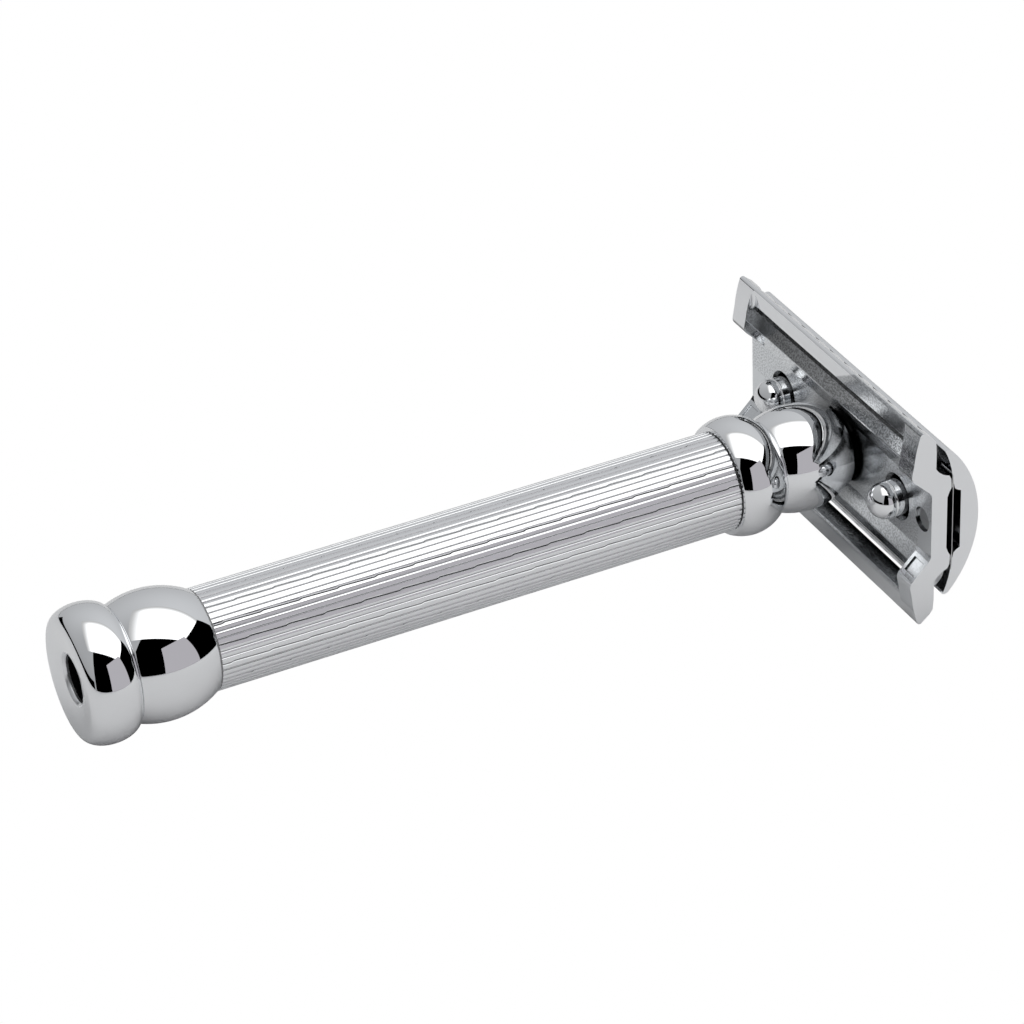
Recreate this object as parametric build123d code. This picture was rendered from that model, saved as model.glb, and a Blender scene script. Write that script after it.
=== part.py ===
"""Three-piece double-edge safety razor on a long lined handle.

Millimetres. The handle axis is +Z with the head at the top, z = 0 is the rim of the pommel's
end face, and X runs along the head. The head is symmetric about the XZ plane.
"""
import math
import os
from build123d import *

# ---- handle: heights along the axis ----
KNOB_TOP_Z = 6.3
BALL_TOP_Z = 16.15
COLLAR_BASE_Z = 83.3
NECK_WAIST_Z = 89.7
NECK_TOP_Z = 99.45
SEAT_Z = 100.0          # top of the handle, where the baseplate sits

# ---- handle: outside radii ----
KNOB_RIM_R = 6.64       # where the flat end face rounds over into the knob
KNOB_R = 8.3
BALL_BASE_R = 6.9
BALL_R = 7.75
BALL_MID_Z = 10.6
BALL_TOP_R = 6.1
GRIP_R = 6.075
COLLAR_RING_R = 2.16    # the collar bulges on a circle centred this far off the axis
COLLAR_MID_Z = 85.83
COLLAR_ARC_R = 5.2
NECK_RING_R = -3.13     # the neck ball is flatter than a sphere: its circle starts past the axis
NECK_MID_Z = 93.83
NECK_ARC_R = 9.7
NECK_SEAT_R = 4.0

# ---- pommel face ----
FACE_LAND_R = 6.2       # flat ring that the razor stands on, from here to KNOB_RIM_R
FACE_DISH = 0.45        # depth of the shallow dish inside that ring
HOLE_RIM_R = 3.2
HOLE_RIM_CHAMFER = 0.35
HOLE_R = 2.85

# ---- grip sleeve ----
SEAL_T = 0.15
SLEEVE_BORE_R = 5.0
CORE_BORE_R = 4.0
LINE_COUNT = 48
LINE_DEPTH = 0.12
LINE_WIDTH = 0.22

# ---- inside the handle ----
SPIGOT_R = 4.0          # spigots of the pommel ball and the collar, in the core tube
SPIGOT_LENGTH = 4.0
KNOB_SPIGOT_R = 4.5
KNOB_SPIGOT_LENGTH = 2.8
TIE_SHAFT_R = 2.0
TIE_HEAD_R = 3.0
TIE_HEAD_H = 2.6
TIE_HEAD_BORE_R = 3.05
TIE_SHOULDER_Z = 9.6
TIE_TOP_Z = 92.5
TIE_SLOT_WIDTH = 1.0
TIE_SLOT_DEPTH = 1.2
WASHER_T = 0.7
WASHER_SPLIT = 0.6
BUSH_R = 3.5
BUSH_BASE_Z = 86.0
BUSH_TOP_Z = 99.4
SOCKET_BASE_Z = 93.5
SOCKET_R = 2.5

# ---- head: heights are above SEAT_Z and points are (y, height) on the head's section ----
HEAD_LENGTH = 42.6
PLATE_TOP = 2.1
FLANGE_T = 0.5
FLANGE_Y = 8.4          # the central plate ends here and the drain slot starts
RIDGE_FOOT = (3.5, PLATE_TOP)
RIDGE_CHEEK = (4.2, 2.35)
RIDGE_INNER = (4.8, 2.69)
RIDGE_OUTER = (5.2, 2.69)
RIDGE_SHOULDER = (5.9, 2.6)
RIDGE_BROW = (6.5, 2.3)
RIDGE_HOLLOW = (6.95, 1.35)
RIDGE_HEEL_Y = 7.9
FOLD_Y = 4.35           # the underside is flat inside this
KEEL = (6.53, -0.64)    # crest of the low keel along the inner side of each slot
KEEL_ROUND = 0.5

# ---- safety bars and the end webs that carry them ----
BAR_TOP_Y = 10.3        # inner edge of the bar's flat top
BAR_SKIRT = (9.3, -2.5)     # inner lower edge at the webs, where the bar is deepest
BAR_BELLY = (11.2, -2.2)
BAR_HEEL = (12.9, -1.75)
BAR_TIP = (13.25, -1.35)
BAR_CHIN = (13.05, -1.0)
BAR_BEVEL = (12.3, -0.05)
BAR_EDGE = (11.7, 0.4)
BAR_RIDGE = (10.75, -1.55)  # inner lower edge between the webs, where the bar is thinned
BAR_RIDGE_ROUND = 0.3
WEB_LENGTH = 3.0
WEB_ROOT = (4.8, -0.3)
WEB_TOE = (6.9, -2.45)
WEB_TOE_ROUND = (7.3, -2.71)
WEB_FOOT = (7.9, -2.76)
PAD_MARGIN = 0.5        # rim left round the sunk pad on each web's slope
PAD_DEPTH = 0.22
SLOT_CORNER_R = 0.8
SLOT_CORNER_LEAN = 20.0     # degrees from upright within which a slot edge is a corner to round
SCALLOP_COUNT = 12
SCALLOP_PITCH = 3.35
SCALLOP_R = 2.2
SCALLOP_DEPTH = 0.42
SCALLOP_LENGTH = 8.0
SCALLOP_TILT = 30.0     # degrees, so that each scallop deepens towards the bar's tip

# ---- holes through the baseplate ----
SCREW_HOLE_R = 2.75
STUD_X = 13.5
STUD_R = 2.25
STUD_HOLE_HALF_X = 2.4  # the stud holes are longer across the head than along it
STUD_HOLE_HALF_Y = 2.6
STUD_HOLE_EASE = 0.4    # bevel round the underside of each stud hole
DIMPLE_X = 19.2
DIMPLE_R = 1.55
DIMPLE_DEPTH = 0.3
OVERCUT = 1.0           # how far a cutter reaches past the surface that it opens

# ---- blade: a flat strip bent over the ridges ----
BLADE_LENGTH = 43.0
BLADE_WIDTH = 22.0
BLADE_T = 0.1
BEND_Y = 5.0            # the blade is flat inside this, and bends outside it
BEND_R = 11.3
BLADE_LOW = 2.7
BLADE_GRIND = 0.35
EDGE_HALF_LENGTH = 18.65
TAB_HALF_WIDTH = 6.6
BLADE_SLOT_HALF_WIDTH = 0.95
BLADE_SLOT_HALF_LENGTH = 18.2
BLADE_CENTRE_HOLE_R = 2.7
BLADE_STUD_HOLE_R = 2.45

# ---- cap ----
CAP_TOP = 6.4
CAP_OUTER_R = 14.5
CAP_SHOULDER_Y = 9.72
CAP_ROLL = (10.03, 2.1)     # middle of the rolled edge between the dome and the underside
CAP_TIP_Y = 9.95
CAP_GAP = 0.02          # slack over the blade, so that the clamped parts don't overlap
CAP_UNDER_Y = 7.7
CAP_PAD_Y = 5.5
PAD_OUTER = (5.1, 2.98)
PAD_INNER = (4.5, 3.1)
PAD_CHEEK = (4.2, 3.45)
RECESS_HALF_WIDTH = 3.95
RECESS_TOP = 3.95

# ---- cap screw and locating studs ----
SCREW_R = 2.45
SCREW_TIP_Z = 95.2
SCREW_CHAMFER = 0.5
SCREW_HEAD_R = 3.4
SCREW_HEAD_H = 1.2
STUD_DOME_Z = 98.4
STUD_ROOT_H = 1.1
STUD_GROOVE_Z = 98.75
STUD_GROOVE_DEPTH = 0.15
STUD_GROOVE_HALF_H = 0.15


def bulge_r(z, ring_r, mid_z, arc_r):
    """Radius at height z of a bulge whose section is a circle centred at (ring_r, mid_z)."""
    return ring_r + math.sqrt(arc_r ** 2 - (z - mid_z) ** 2)


def turned(*edges):
    """Turn a closed outline of (radius, height) edges about the handle axis."""
    return revolve(make_face([Plane.XZ * edge for edge in edges]), Axis.Z)


def disc(radius, low, high, x=0.0, y=0.0):
    """A round bar between two heights."""
    return Pos(x, y, low) * extrude(Circle(radius), high - low)


def head_section(edges, length):
    """Extrude a closed outline of (y, height above the seat) edges along the head."""
    plane = Plane(origin=(0, 0, SEAT_Z), x_dir=(0, 1, 0), z_dir=(1, 0, 0))
    return extrude(make_face([plane * edge for edge in edges]), length / 2, both=True)


def both_sides(solid):
    """A half section joined to its mirror image in the XZ plane."""
    return solid + mirror(solid, about=Plane.XZ)


# ---- handle ----
def pommel_knob():
    mid_z = KNOB_TOP_Z / 2
    body = turned(
        Line((HOLE_RIM_R, FACE_DISH), (FACE_LAND_R, 0)),
        Line((FACE_LAND_R, 0), (KNOB_RIM_R, 0)),
        EllipticalCenterArc((KNOB_RIM_R, mid_z), KNOB_R - KNOB_RIM_R, mid_z, -90, arc_size=180),
        Line((KNOB_RIM_R, KNOB_TOP_Z), (HOLE_R, KNOB_TOP_Z)),
        Line((HOLE_R, KNOB_TOP_Z), (HOLE_R, FACE_DISH + HOLE_RIM_CHAMFER)),
        Line((HOLE_R, FACE_DISH + HOLE_RIM_CHAMFER), (HOLE_RIM_R, FACE_DISH)),
    )
    return body - disc(KNOB_SPIGOT_R, KNOB_TOP_Z - KNOB_SPIGOT_LENGTH, KNOB_TOP_Z)


def pommel_ball():
    body = turned(
        Line((0, KNOB_TOP_Z), (BALL_BASE_R, KNOB_TOP_Z)),
        ThreePointArc((BALL_BASE_R, KNOB_TOP_Z), (BALL_R, BALL_MID_Z), (BALL_TOP_R, BALL_TOP_Z)),
        Line((BALL_TOP_R, BALL_TOP_Z), (0, BALL_TOP_Z)),
        Line((0, BALL_TOP_Z), (0, KNOB_TOP_Z)),
    )
    body += disc(KNOB_SPIGOT_R, KNOB_TOP_Z - KNOB_SPIGOT_LENGTH, KNOB_TOP_Z)
    body += disc(SPIGOT_R, BALL_TOP_Z, BALL_TOP_Z + SPIGOT_LENGTH)
    body -= disc(TIE_HEAD_BORE_R, KNOB_TOP_Z - KNOB_SPIGOT_LENGTH, TIE_SHOULDER_Z)
    return body - disc(TIE_SHAFT_R, TIE_SHOULDER_Z, BALL_TOP_Z + SPIGOT_LENGTH)


def tie_bolt():
    head_top_z = TIE_SHOULDER_Z - WASHER_T
    head_low_z = head_top_z - TIE_HEAD_H
    bolt = disc(TIE_HEAD_R, head_low_z, head_top_z) + disc(TIE_SHAFT_R, head_top_z, TIE_TOP_Z)
    slot = Pos(0, 0, head_low_z) * Box(2 * (TIE_HEAD_R + OVERCUT), TIE_SLOT_WIDTH, 2 * TIE_SLOT_DEPTH)
    return bolt - slot


def lock_washer():
    ring = disc(TIE_HEAD_R, TIE_SHOULDER_Z - WASHER_T, TIE_SHOULDER_Z)
    ring -= disc(TIE_SHAFT_R, TIE_SHOULDER_Z - WASHER_T, TIE_SHOULDER_Z)
    split_x = (TIE_HEAD_R + TIE_SHAFT_R) / 2
    split = Pos(split_x, 0, TIE_SHOULDER_Z - WASHER_T / 2) * Box(TIE_HEAD_R, WASHER_SPLIT, 2 * WASHER_T)
    return ring - split


def core_tube():
    return disc(SLEEVE_BORE_R, BALL_TOP_Z, COLLAR_BASE_Z) - disc(CORE_BORE_R, BALL_TOP_Z, COLLAR_BASE_Z)


def grip_tube():
    """Sleeve whose outside is lined with shallow V grooves along its length."""
    low = BALL_TOP_Z + SEAL_T
    length = COLLAR_BASE_Z - SEAL_T - low
    bottom_r = GRIP_R - LINE_DEPTH
    half_angle = LINE_WIDTH / 2 / GRIP_R
    corners = []
    for line in range(LINE_COUNT):
        middle = 2 * math.pi * line / LINE_COUNT
        for radius, angle in ((GRIP_R, -half_angle), (bottom_r, 0), (GRIP_R, half_angle)):
            corners.append((radius * math.cos(middle + angle), radius * math.sin(middle + angle)))
    section = make_face(Polyline(*corners, close=True)) - Circle(SLEEVE_BORE_R)
    return Pos(0, 0, low) * extrude(section, length)


def seal_rings():
    """The two flat rings that close the ends of the sleeve."""
    radius = GRIP_R - LINE_DEPTH
    rings = []
    for low in (BALL_TOP_Z, COLLAR_BASE_Z - SEAL_T):
        rings.append(disc(radius, low, low + SEAL_T) - disc(SLEEVE_BORE_R, low, low + SEAL_T))
    return rings


def neck_collar():
    base_r = bulge_r(COLLAR_BASE_Z, COLLAR_RING_R, COLLAR_MID_Z, COLLAR_ARC_R)
    waist_r = bulge_r(NECK_WAIST_Z, COLLAR_RING_R, COLLAR_MID_Z, COLLAR_ARC_R)
    widest = (COLLAR_RING_R + COLLAR_ARC_R, COLLAR_MID_Z)
    body = turned(
        Line((0, COLLAR_BASE_Z), (base_r, COLLAR_BASE_Z)),
        ThreePointArc((base_r, COLLAR_BASE_Z), widest, (waist_r, NECK_WAIST_Z)),
        Line((waist_r, NECK_WAIST_Z), (0, NECK_WAIST_Z)),
        Line((0, NECK_WAIST_Z), (0, COLLAR_BASE_Z)),
    )
    body += disc(SPIGOT_R, COLLAR_BASE_Z - SPIGOT_LENGTH, COLLAR_BASE_Z)
    body -= disc(BUSH_R, BUSH_BASE_Z, NECK_WAIST_Z)
    return body - disc(TIE_SHAFT_R, COLLAR_BASE_Z - SPIGOT_LENGTH, BUSH_BASE_Z)


def neck_ball():
    waist_r = bulge_r(NECK_WAIST_Z, NECK_RING_R, NECK_MID_Z, NECK_ARC_R)
    top_r = bulge_r(NECK_TOP_Z, NECK_RING_R, NECK_MID_Z, NECK_ARC_R)
    widest = (NECK_RING_R + NECK_ARC_R, NECK_MID_Z)
    return turned(
        Line((BUSH_R, NECK_WAIST_Z), (waist_r, NECK_WAIST_Z)),
        ThreePointArc((waist_r, NECK_WAIST_Z), widest, (top_r, NECK_TOP_Z)),
        Line((top_r, NECK_TOP_Z), (NECK_SEAT_R, NECK_TOP_Z)),
        Line((NECK_SEAT_R, NECK_TOP_Z), (NECK_SEAT_R, SEAT_Z)),
        Line((NECK_SEAT_R, SEAT_Z), (BUSH_R, SEAT_Z)),
        Line((BUSH_R, SEAT_Z), (BUSH_R, NECK_WAIST_Z)),
    )


def thread_bush():
    """Double-ended bush: the tie bolt enters from below and the cap screw from above."""
    bush = disc(BUSH_R, BUSH_BASE_Z, BUSH_TOP_Z)
    bush -= disc(TIE_SHAFT_R, BUSH_BASE_Z, TIE_TOP_Z)
    return bush - disc(SOCKET_R, SOCKET_BASE_Z, BUSH_TOP_Z)


# ---- baseplate ----
def rounded_along(solid, point, radius):
    """Round the edge that runs along the head through a point of its section."""
    y, height = point
    edges = solid.edges().filter_by(Axis.X)
    edge = edges.sort_by(lambda e: math.hypot(e.center().Y - y, e.center().Z - SEAT_Z - height))[0]
    return fillet(edge, radius)


def plate_half():
    """Central plate: a ridge on top, a low keel below and a thin flange up to the slot."""
    heel = (RIDGE_HEEL_Y, FLANGE_T)
    return head_section([
        Line((0, 0), (FOLD_Y, 0)),
        Line((FOLD_Y, 0), KEEL),
        Line(KEEL, (FLANGE_Y, 0)),
        Line((FLANGE_Y, 0), (FLANGE_Y, FLANGE_T)),
        Line((FLANGE_Y, FLANGE_T), heel),
        ThreePointArc(heel, RIDGE_HOLLOW, RIDGE_BROW),
        Line(RIDGE_BROW, RIDGE_SHOULDER),
        Line(RIDGE_SHOULDER, RIDGE_OUTER),
        Line(RIDGE_OUTER, RIDGE_INNER),
        Line(RIDGE_INNER, RIDGE_CHEEK),
        Line(RIDGE_CHEEK, RIDGE_FOOT),
        Line(RIDGE_FOOT, (0, PLATE_TOP)),
        Line((0, PLATE_TOP), (0, 0)),
    ], HEAD_LENGTH)


def bar_half():
    """Safety bar: bellied lower face, rounded tip and a bevel up to the flat top."""
    top = (BAR_TOP_Y, FLANGE_T)
    return head_section([
        Line(top, BAR_SKIRT),
        ThreePointArc(BAR_SKIRT, BAR_BELLY, BAR_HEEL),
        ThreePointArc(BAR_HEEL, BAR_TIP, BAR_CHIN),
        Line(BAR_CHIN, BAR_BEVEL),
        Line(BAR_BEVEL, BAR_EDGE),
        Line(BAR_EDGE, top),
    ], HEAD_LENGTH)


def web_half():
    """Web between the plate and the bar: it slopes down from the fold to the bar's lower face."""
    top = (BAR_TOP_Y, FLANGE_T)
    inner = (RIDGE_HEEL_Y, FLANGE_T)
    return head_section([
        Line((FOLD_Y, 0), WEB_ROOT),
        Line(WEB_ROOT, WEB_TOE),
        ThreePointArc(WEB_TOE, WEB_TOE_ROUND, WEB_FOOT),
        Line(WEB_FOOT, BAR_SKIRT),
        Line(BAR_SKIRT, top),
        Line(top, inner),
        Line(inner, (FOLD_Y, 0)),
    ], HEAD_LENGTH)


def pad_sinks():
    """The shallow rectangles sunk into the slope of the two webs on one side."""
    run = WEB_TOE[0] - WEB_ROOT[0]
    fall = WEB_ROOT[1] - WEB_TOE[1]
    size = (WEB_LENGTH - 2 * PAD_MARGIN, math.hypot(run, fall) - 2 * PAD_MARGIN, 2 * PAD_DEPTH)
    middle_y = (WEB_ROOT[0] + WEB_TOE[0]) / 2
    middle_z = SEAT_Z + (WEB_ROOT[1] + WEB_TOE[1]) / 2
    tilt = -math.degrees(math.atan2(fall, run))
    sinks = []
    for side in (-1, 1):
        x = side * (HEAD_LENGTH - WEB_LENGTH) / 2
        sinks.append(Pos(x, middle_y, middle_z) * Rot(tilt, 0, 0) * Box(*size))
    return sinks


def slot_half():
    """What the drain slot and the pocket below the plate remove between the end webs."""
    below = BAR_SKIRT[1] - OVERCUT
    above = FLANGE_T + OVERCUT
    outside = (BAR_TIP[0] + OVERCUT, BAR_HEEL[1])
    tool = head_section([
        Line((FOLD_Y, 0), KEEL),
        Line(KEEL, (FLANGE_Y, 0)),
        Line((FLANGE_Y, 0), (FLANGE_Y, above)),
        Line((FLANGE_Y, above), (BAR_TOP_Y, above)),
        Line((BAR_TOP_Y, above), (BAR_TOP_Y, FLANGE_T)),
        Line((BAR_TOP_Y, FLANGE_T), BAR_RIDGE),
        Line(BAR_RIDGE, outside),
        Line(outside, (outside[0], below)),
        Line((outside[0], below), (FOLD_Y, below)),
        Line((FOLD_Y, below), (FOLD_Y, 0)),
    ], HEAD_LENGTH - 2 * WEB_LENGTH)
    tool = rounded_along(tool, KEEL, KEEL_ROUND)
    tool = rounded_along(tool, BAR_RIDGE, BAR_RIDGE_ROUND)
    least_rise = math.cos(math.radians(SLOT_CORNER_LEAN))
    upright = tool.edges().filter_by(lambda e: abs(e.tangent_at(0.5).Z) > least_rise)
    return fillet(upright.filter_by(lambda e: e.center().Y > KEEL[0]), SLOT_CORNER_R)


def scallops():
    """Shallow lobes along the upper outer edge of one bar."""
    lift = SCALLOP_R - SCALLOP_DEPTH
    tools = []
    for i in range(SCALLOP_COUNT):
        x = (i - (SCALLOP_COUNT - 1) / 2) * SCALLOP_PITCH
        cylinder = Rot(90 - SCALLOP_TILT, 0, 0) * Pos(0, lift, 0) * Cylinder(SCALLOP_R, SCALLOP_LENGTH)
        tools.append(Pos(x, BAR_BEVEL[0], SEAT_Z) * cylinder)
    return tools


def stud_hole(x):
    """An oblong hole through the plate, longer across the head and bevelled underneath."""
    outline = SlotOverall(2 * STUD_HOLE_HALF_Y, 2 * STUD_HOLE_HALF_X, rotation=90)
    hole = Pos(x, 0, SEAT_Z - OVERCUT) * extrude(outline, PLATE_TOP + 2 * OVERCUT)
    mouth = offset(outline, STUD_HOLE_EASE)
    return hole + Pos(x, 0, SEAT_Z) * extrude(mouth, STUD_HOLE_EASE, taper=45)


def baseplate():
    half = plate_half() + bar_half() + web_half() - slot_half()
    half -= scallops() + pad_sinks()
    plate = both_sides(half)
    plate -= disc(SCREW_HOLE_R, SEAT_Z - OVERCUT, SEAT_Z + PLATE_TOP + OVERCUT)
    for x in (-STUD_X, STUD_X):
        plate -= stud_hole(x)
    return plate - disc(DIMPLE_R, SEAT_Z - OVERCUT, SEAT_Z + DIMPLE_DEPTH, DIMPLE_X)


# ---- blade ----
def bend_point(radius, angle):
    """Point on the blade's bend, as (y, height above the seat)."""
    centre = BLADE_LOW - BEND_R
    return (BEND_Y + radius * math.sin(angle), centre + radius * math.cos(angle))


def blade_half():
    top_r = BEND_R + BLADE_T
    reach = BLADE_WIDTH / 2 - BEND_Y
    tip_angle = reach / (BEND_R + BLADE_T / 2)
    grind_angle = tip_angle - BLADE_GRIND / BEND_R
    tip = bend_point(BEND_R + BLADE_T / 2, tip_angle)
    low = [bend_point(BEND_R, grind_angle * part) for part in (0, 0.5, 1)]
    high = [bend_point(top_r, grind_angle * part) for part in (1, 0.5, 0)]
    return head_section([
        Line((0, BLADE_LOW), low[0]),
        ThreePointArc(*low),
        Line(low[2], tip),
        Line(tip, high[0]),
        ThreePointArc(*high),
        Line(high[2], (0, BLADE_LOW + BLADE_T)),
        Line((0, BLADE_LOW + BLADE_T), (0, BLADE_LOW)),
    ], BLADE_LENGTH)


def razor_blade():
    blade = both_sides(blade_half())
    low = SEAT_Z
    high = SEAT_Z + BLADE_LOW + OVERCUT
    slot = Box(2 * BLADE_SLOT_HALF_LENGTH, 2 * BLADE_SLOT_HALF_WIDTH, high - low)
    blade -= Pos(0, 0, (low + high) / 2) * slot
    blade -= disc(BLADE_CENTRE_HOLE_R, low, high)
    for x in (-STUD_X, STUD_X):
        blade -= disc(BLADE_STUD_HOLE_R, low, high, x)
    notch = Box(BLADE_LENGTH / 2 - EDGE_HALF_LENGTH, BLADE_WIDTH / 2 - TAB_HALF_WIDTH, high - low)
    notch_x = (BLADE_LENGTH / 2 + EDGE_HALF_LENGTH) / 2
    notch_y = (BLADE_WIDTH / 2 + TAB_HALF_WIDTH) / 2
    for x_side in (-1, 1):
        for y_side in (-1, 1):
            blade -= Pos(x_side * notch_x, y_side * notch_y, (low + high) / 2) * notch
    return blade


# ---- cap, its screw and its studs ----
def cap_half():
    """Domed outside; the underside follows the bent blade out to the tip."""
    under_r = BEND_R + BLADE_T + CAP_GAP
    centre_z = BLADE_LOW - BEND_R

    def under(y):
        return (y, centre_z + math.sqrt(under_r ** 2 - (y - BEND_Y) ** 2))

    def outer(y):
        return (y, CAP_TOP - CAP_OUTER_R + math.sqrt(CAP_OUTER_R ** 2 - y ** 2))

    tip = under(CAP_TIP_Y)
    return head_section([
        ThreePointArc(outer(0), outer(CAP_SHOULDER_Y / 2), outer(CAP_SHOULDER_Y)),
        ThreePointArc(outer(CAP_SHOULDER_Y), CAP_ROLL, tip),
        ThreePointArc(tip, under(CAP_UNDER_Y), under(CAP_PAD_Y)),
        Line(under(CAP_PAD_Y), PAD_OUTER),
        Line(PAD_OUTER, PAD_INNER),
        Line(PAD_INNER, PAD_CHEEK),
        Line(PAD_CHEEK, (RECESS_HALF_WIDTH, RECESS_TOP)),
        Line((RECESS_HALF_WIDTH, RECESS_TOP), (0, RECESS_TOP)),
        Line((0, RECESS_TOP), outer(0)),
    ], HEAD_LENGTH)


def cap():
    body = both_sides(cap_half())
    recess_z = SEAT_Z + RECESS_TOP
    body -= disc(SCREW_HEAD_R, recess_z - OVERCUT, recess_z + SCREW_HEAD_H)
    for x in (-STUD_X, STUD_X):
        body -= disc(STUD_R, recess_z - OVERCUT, recess_z + STUD_ROOT_H, x)
    return body


def cap_screw():
    recess_z = SEAT_Z + RECESS_TOP
    return turned(
        Line((0, SCREW_TIP_Z), (SCREW_R - SCREW_CHAMFER, SCREW_TIP_Z)),
        Line((SCREW_R - SCREW_CHAMFER, SCREW_TIP_Z), (SCREW_R, SCREW_TIP_Z + SCREW_CHAMFER)),
        Line((SCREW_R, SCREW_TIP_Z + SCREW_CHAMFER), (SCREW_R, recess_z)),
        Line((SCREW_R, recess_z), (SCREW_HEAD_R, recess_z)),
        Line((SCREW_HEAD_R, recess_z), (SCREW_HEAD_R, recess_z + SCREW_HEAD_H)),
        Line((SCREW_HEAD_R, recess_z + SCREW_HEAD_H), (0, recess_z + SCREW_HEAD_H)),
        Line((0, recess_z + SCREW_HEAD_H), (0, SCREW_TIP_Z)),
    )


def stud():
    """Locating stud: a round end, a fine turned groove and a plain shank."""
    top_z = SEAT_Z + RECESS_TOP + STUD_ROOT_H
    slant = STUD_R * math.sqrt(0.5)
    groove_low = STUD_GROOVE_Z - STUD_GROOVE_HALF_H
    groove_high = STUD_GROOVE_Z + STUD_GROOVE_HALF_H
    return turned(
        ThreePointArc((0, STUD_DOME_Z - STUD_R), (slant, STUD_DOME_Z - slant), (STUD_R, STUD_DOME_Z)),
        Line((STUD_R, STUD_DOME_Z), (STUD_R, groove_low)),
        Line((STUD_R, groove_low), (STUD_R - STUD_GROOVE_DEPTH, STUD_GROOVE_Z)),
        Line((STUD_R - STUD_GROOVE_DEPTH, STUD_GROOVE_Z), (STUD_R, groove_high)),
        Line((STUD_R, groove_high), (STUD_R, top_z)),
        Line((STUD_R, top_z), (0, top_z)),
        Line((0, top_z), (0, STUD_DOME_Z - STUD_R)),
    )


def locating_studs():
    return [Pos(x, 0, 0) * stud() for x in (-STUD_X, STUD_X)]


NODES = (
    pommel_knob, pommel_ball, tie_bolt, lock_washer, core_tube, grip_tube, seal_rings, neck_collar,
    neck_ball, thread_bush, baseplate, razor_blade, cap, cap_screw, locating_studs,
)

os.makedirs("parts", exist_ok=True)
for build in NODES:
    shape = build()
    if isinstance(shape, list):
        shape = Compound(children=shape)
    export_step(shape, f"parts/{build.__name__}.step")
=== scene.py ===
"""Looks of a chromed safety razor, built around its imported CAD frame.

Outlines are in millimetres in the row frame and turn into metres when a mesh is made. The razor's
head is at the top of +Z; it lies on a table whose surface is nearly the +Y side of the object.
"""
import math

import bpy
from mathutils import Matrix, Vector


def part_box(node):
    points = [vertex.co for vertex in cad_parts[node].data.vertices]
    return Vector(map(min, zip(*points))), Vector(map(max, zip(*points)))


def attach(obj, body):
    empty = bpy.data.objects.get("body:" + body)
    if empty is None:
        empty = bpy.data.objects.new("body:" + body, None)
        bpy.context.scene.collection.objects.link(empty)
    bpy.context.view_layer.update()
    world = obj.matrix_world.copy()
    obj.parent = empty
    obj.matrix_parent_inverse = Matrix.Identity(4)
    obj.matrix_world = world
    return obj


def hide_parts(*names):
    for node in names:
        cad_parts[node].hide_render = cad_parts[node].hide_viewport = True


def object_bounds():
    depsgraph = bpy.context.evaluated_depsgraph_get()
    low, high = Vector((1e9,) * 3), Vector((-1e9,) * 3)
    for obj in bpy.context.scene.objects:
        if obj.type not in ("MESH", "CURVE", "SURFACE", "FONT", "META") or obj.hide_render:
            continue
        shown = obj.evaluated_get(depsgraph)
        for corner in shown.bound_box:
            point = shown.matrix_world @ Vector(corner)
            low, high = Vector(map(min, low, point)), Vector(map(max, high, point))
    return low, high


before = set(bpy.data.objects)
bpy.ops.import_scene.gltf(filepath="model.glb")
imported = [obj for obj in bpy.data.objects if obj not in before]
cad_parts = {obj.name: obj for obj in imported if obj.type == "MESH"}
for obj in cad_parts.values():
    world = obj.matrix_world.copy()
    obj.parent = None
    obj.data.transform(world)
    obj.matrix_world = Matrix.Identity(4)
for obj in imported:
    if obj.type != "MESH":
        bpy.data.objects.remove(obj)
cad_low, cad_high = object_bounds()

MM = 0.001
FULL_TURN = 2 * math.pi

# ---- meshes ----
AROUND = 192                # steps round a turned piece
CURVE_STEPS = 40            # steps along a curved stretch of an outline
CORNER_STEPS = 4
EDGE_BREAK = 0.12           # mm, how far a turned corner is broken
SOFTEN_ABOVE = math.radians(20)
SHARP_ABOVE = math.radians(32)

# ---- pommel, mm ----
FACE_LAND_R = 6.2
KNOB_RIM_R = 6.64
FACE_DISH = 0.45
HOLE_RIM_R = 3.2
HOLE_CHAMFER = 0.35
HOLE_R = 2.85
SPIGOT_R = 4.5
SPIGOT_LENGTH = 2.8
BALL_BASE_R = 6.9
BALL_MID_Z = 10.6
BALL_TOP_R = 6.1
BALL_BORE_R = 3.05

# ---- neck, mm ----
COLLAR_MID_Z = 85.83
COLLAR_RING_R = 2.16
COLLAR_ARC_R = 5.2
NECK_MID_Z = 93.83
NECK_RING_R = -3.13
NECK_ARC_R = 9.7
NECK_SEAT_R = 4.0
BUSH_R = 3.5
INNER_R = 2.2

# ---- lined grip, mm ----
LINE_COUNT = 48
LINE_DEPTH = 0.12
LINE_WIDTH = 0.22
LAND_CROWN = 0.036          # how far the middle of a land stands over its edges
LINE_PHASE = math.radians(-2.0)
WAVY_EVERY = 3
WAVY_EXTRA_DEPTH = 0.05
WAVE_PERIOD = 4.75
WAVE_SIZE = 0.12
WAVE_JOG = 0.09             # share of a period in which a wavy line jumps back
WAVE_START = 0.35
SLEEVE_BORE_R = 5.0

# ---- cap screw and studs, mm ----
THREAD_PITCH = 0.8
THREAD_DEPTH = 0.42
THREAD_ROWS = 10
THREAD_AROUND = 64
SCREW_HEAD_R = 3.4
SCREW_HEAD_H = 1.2
STUD_X = 13.5
STUD_DOME_Z = 98.4
STUD_GROOVE_Z = 98.75
STUD_GROOVE = 0.15

# ---- camera ----
VIEW_AZIMUTH = math.radians(54.43)
VIEW_ELEVATION = math.radians(-20.91)
VIEW_ROLL = math.radians(73.08)
VIEW_DISTANCE = 0.481
VIEW_RIGHT = 0.00227        # how far the camera's axis passes to the right of the object's centre
VIEW_UP = 0.0045
LENS = 144.7
SENSOR = 36.0

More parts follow.
